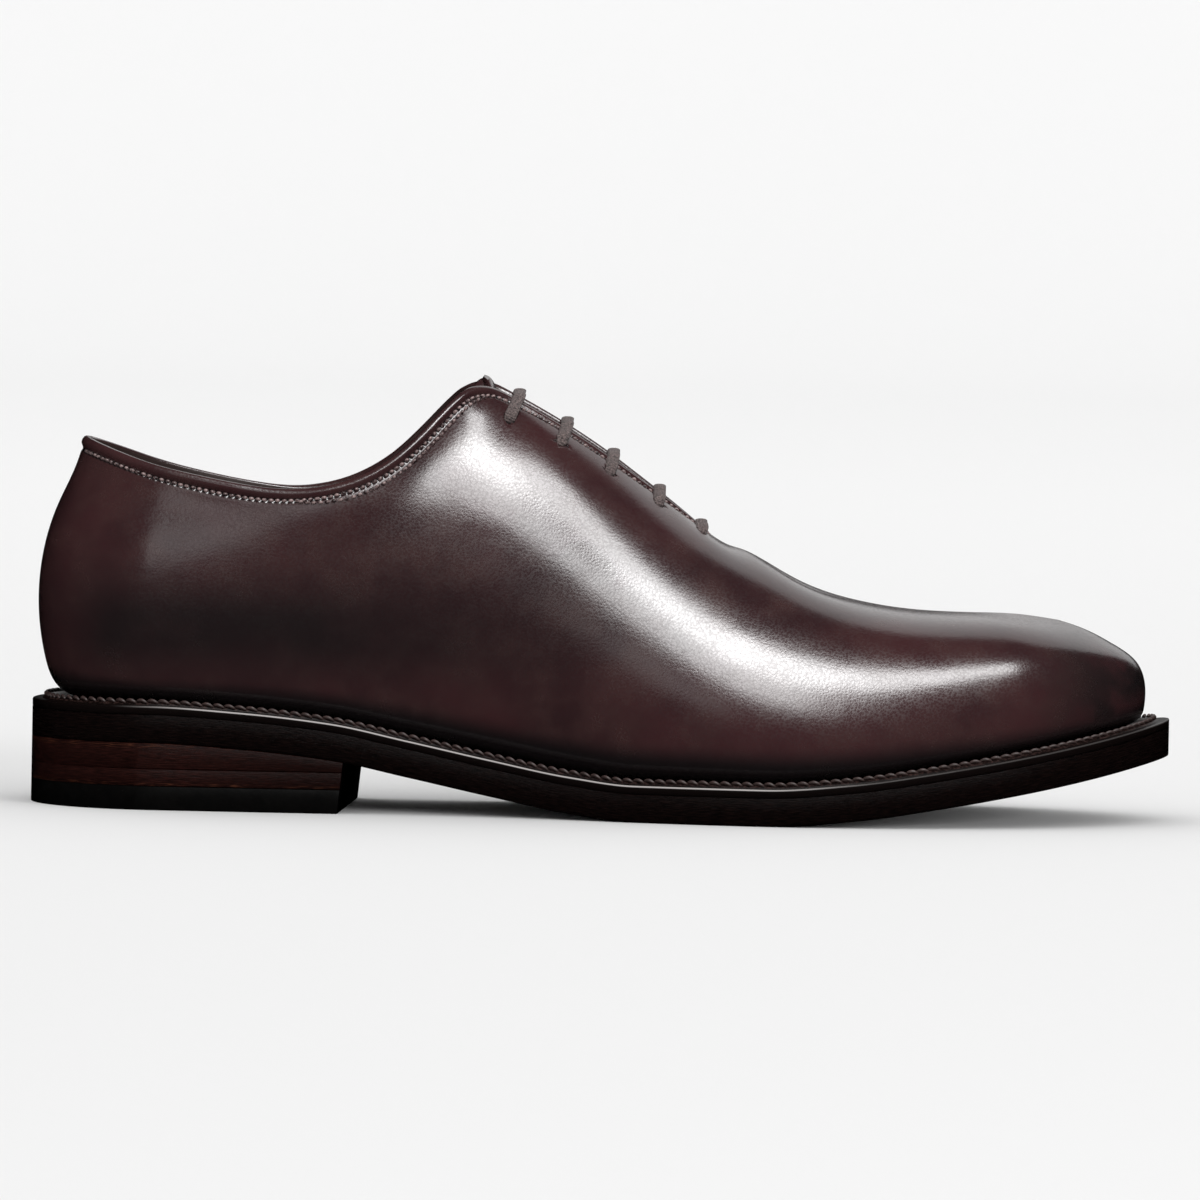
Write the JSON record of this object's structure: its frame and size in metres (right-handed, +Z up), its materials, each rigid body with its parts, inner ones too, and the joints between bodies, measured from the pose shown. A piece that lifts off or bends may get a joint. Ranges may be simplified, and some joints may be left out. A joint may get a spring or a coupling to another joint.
{
  "type": "oxford shoe",
  "caption": "Right whole cut oxford shoe: hollow one-piece leather upper with a laced front on a welted leather sole with a stacked heel.",
  "frame": {"origin": "centre of the bounding box's footprint, on the floor that the sole stands on", "axes": "+X to the toe, +Y to the inner side of the foot, +Z up"},
  "size_m": [0.3019, 0.109, 0.1147],
  "materials": {
    "upper_leather": "polished",
    "lining_leather": "matt",
    "sole_leather": "burnished",
    "heel_stack_leather": "burnished",
    "rubber": "matt",
    "waxed_cotton": "woven, waxed"
  },
  "bodies": {
    "root": {"outsole": "sole_leather", "welt": "sole_leather", "heel_top_piece": "rubber", "heel_lift_lower": "heel_stack_leather", "heel_lift_upper": "heel_stack_leather", "insole": "lining_leather", "upper": "upper_leather", "tongue": "upper_leather", "lace_bar_1": "waxed_cotton", "lace_bar_2": "waxed_cotton", "lace_bar_3": "waxed_cotton", "lace_bar_4": "waxed_cotton", "lace_bar_5": "waxed_cotton"}
  },
  "joints": []
}
